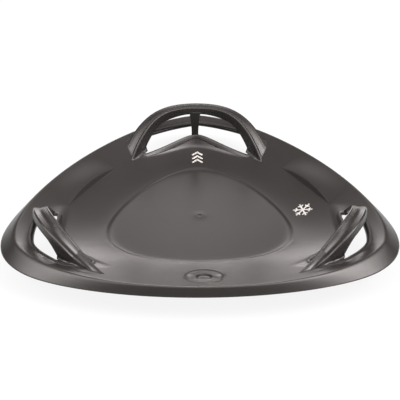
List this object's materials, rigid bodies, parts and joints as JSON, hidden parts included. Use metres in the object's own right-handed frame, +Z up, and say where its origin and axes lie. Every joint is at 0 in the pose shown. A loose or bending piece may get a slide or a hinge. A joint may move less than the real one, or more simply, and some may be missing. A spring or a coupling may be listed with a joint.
{
  "type": "saucer sled",
  "caption": "Three-cornered moulded saucer sled with a sunken seat, a turned-down rim and a raised grip over a hand hole at every corner.",
  "frame": {"origin": "middle of the small gate mark in the upper face of the seat floor", "axes": "+Z up out of the dish, +Y towards the front grip, +X to the rider's right"},
  "size_m": [0.7048, 0.6856, 0.1119],
  "materials": {
    "pan": "satin moulded plastic, charcoal",
    "front_grip": "satin moulded plastic, charcoal",
    "left_grip": "satin moulded plastic, charcoal",
    "right_grip": "satin moulded plastic, charcoal",
    "front_web": "satin moulded plastic, charcoal",
    "left_web": "satin moulded plastic, charcoal",
    "right_web": "satin moulded plastic, charcoal",
    "boss": "satin moulded plastic, charcoal"
  },
  "bodies": {
    "root": {"sled_pan": "pan", "front_grip": "front_grip", "left_grip": "left_grip", "right_grip": "right_grip", "front_web": "front_web", "left_web": "left_web", "right_web": "right_web", "tow_boss": "boss"}
  },
  "joints": []
}
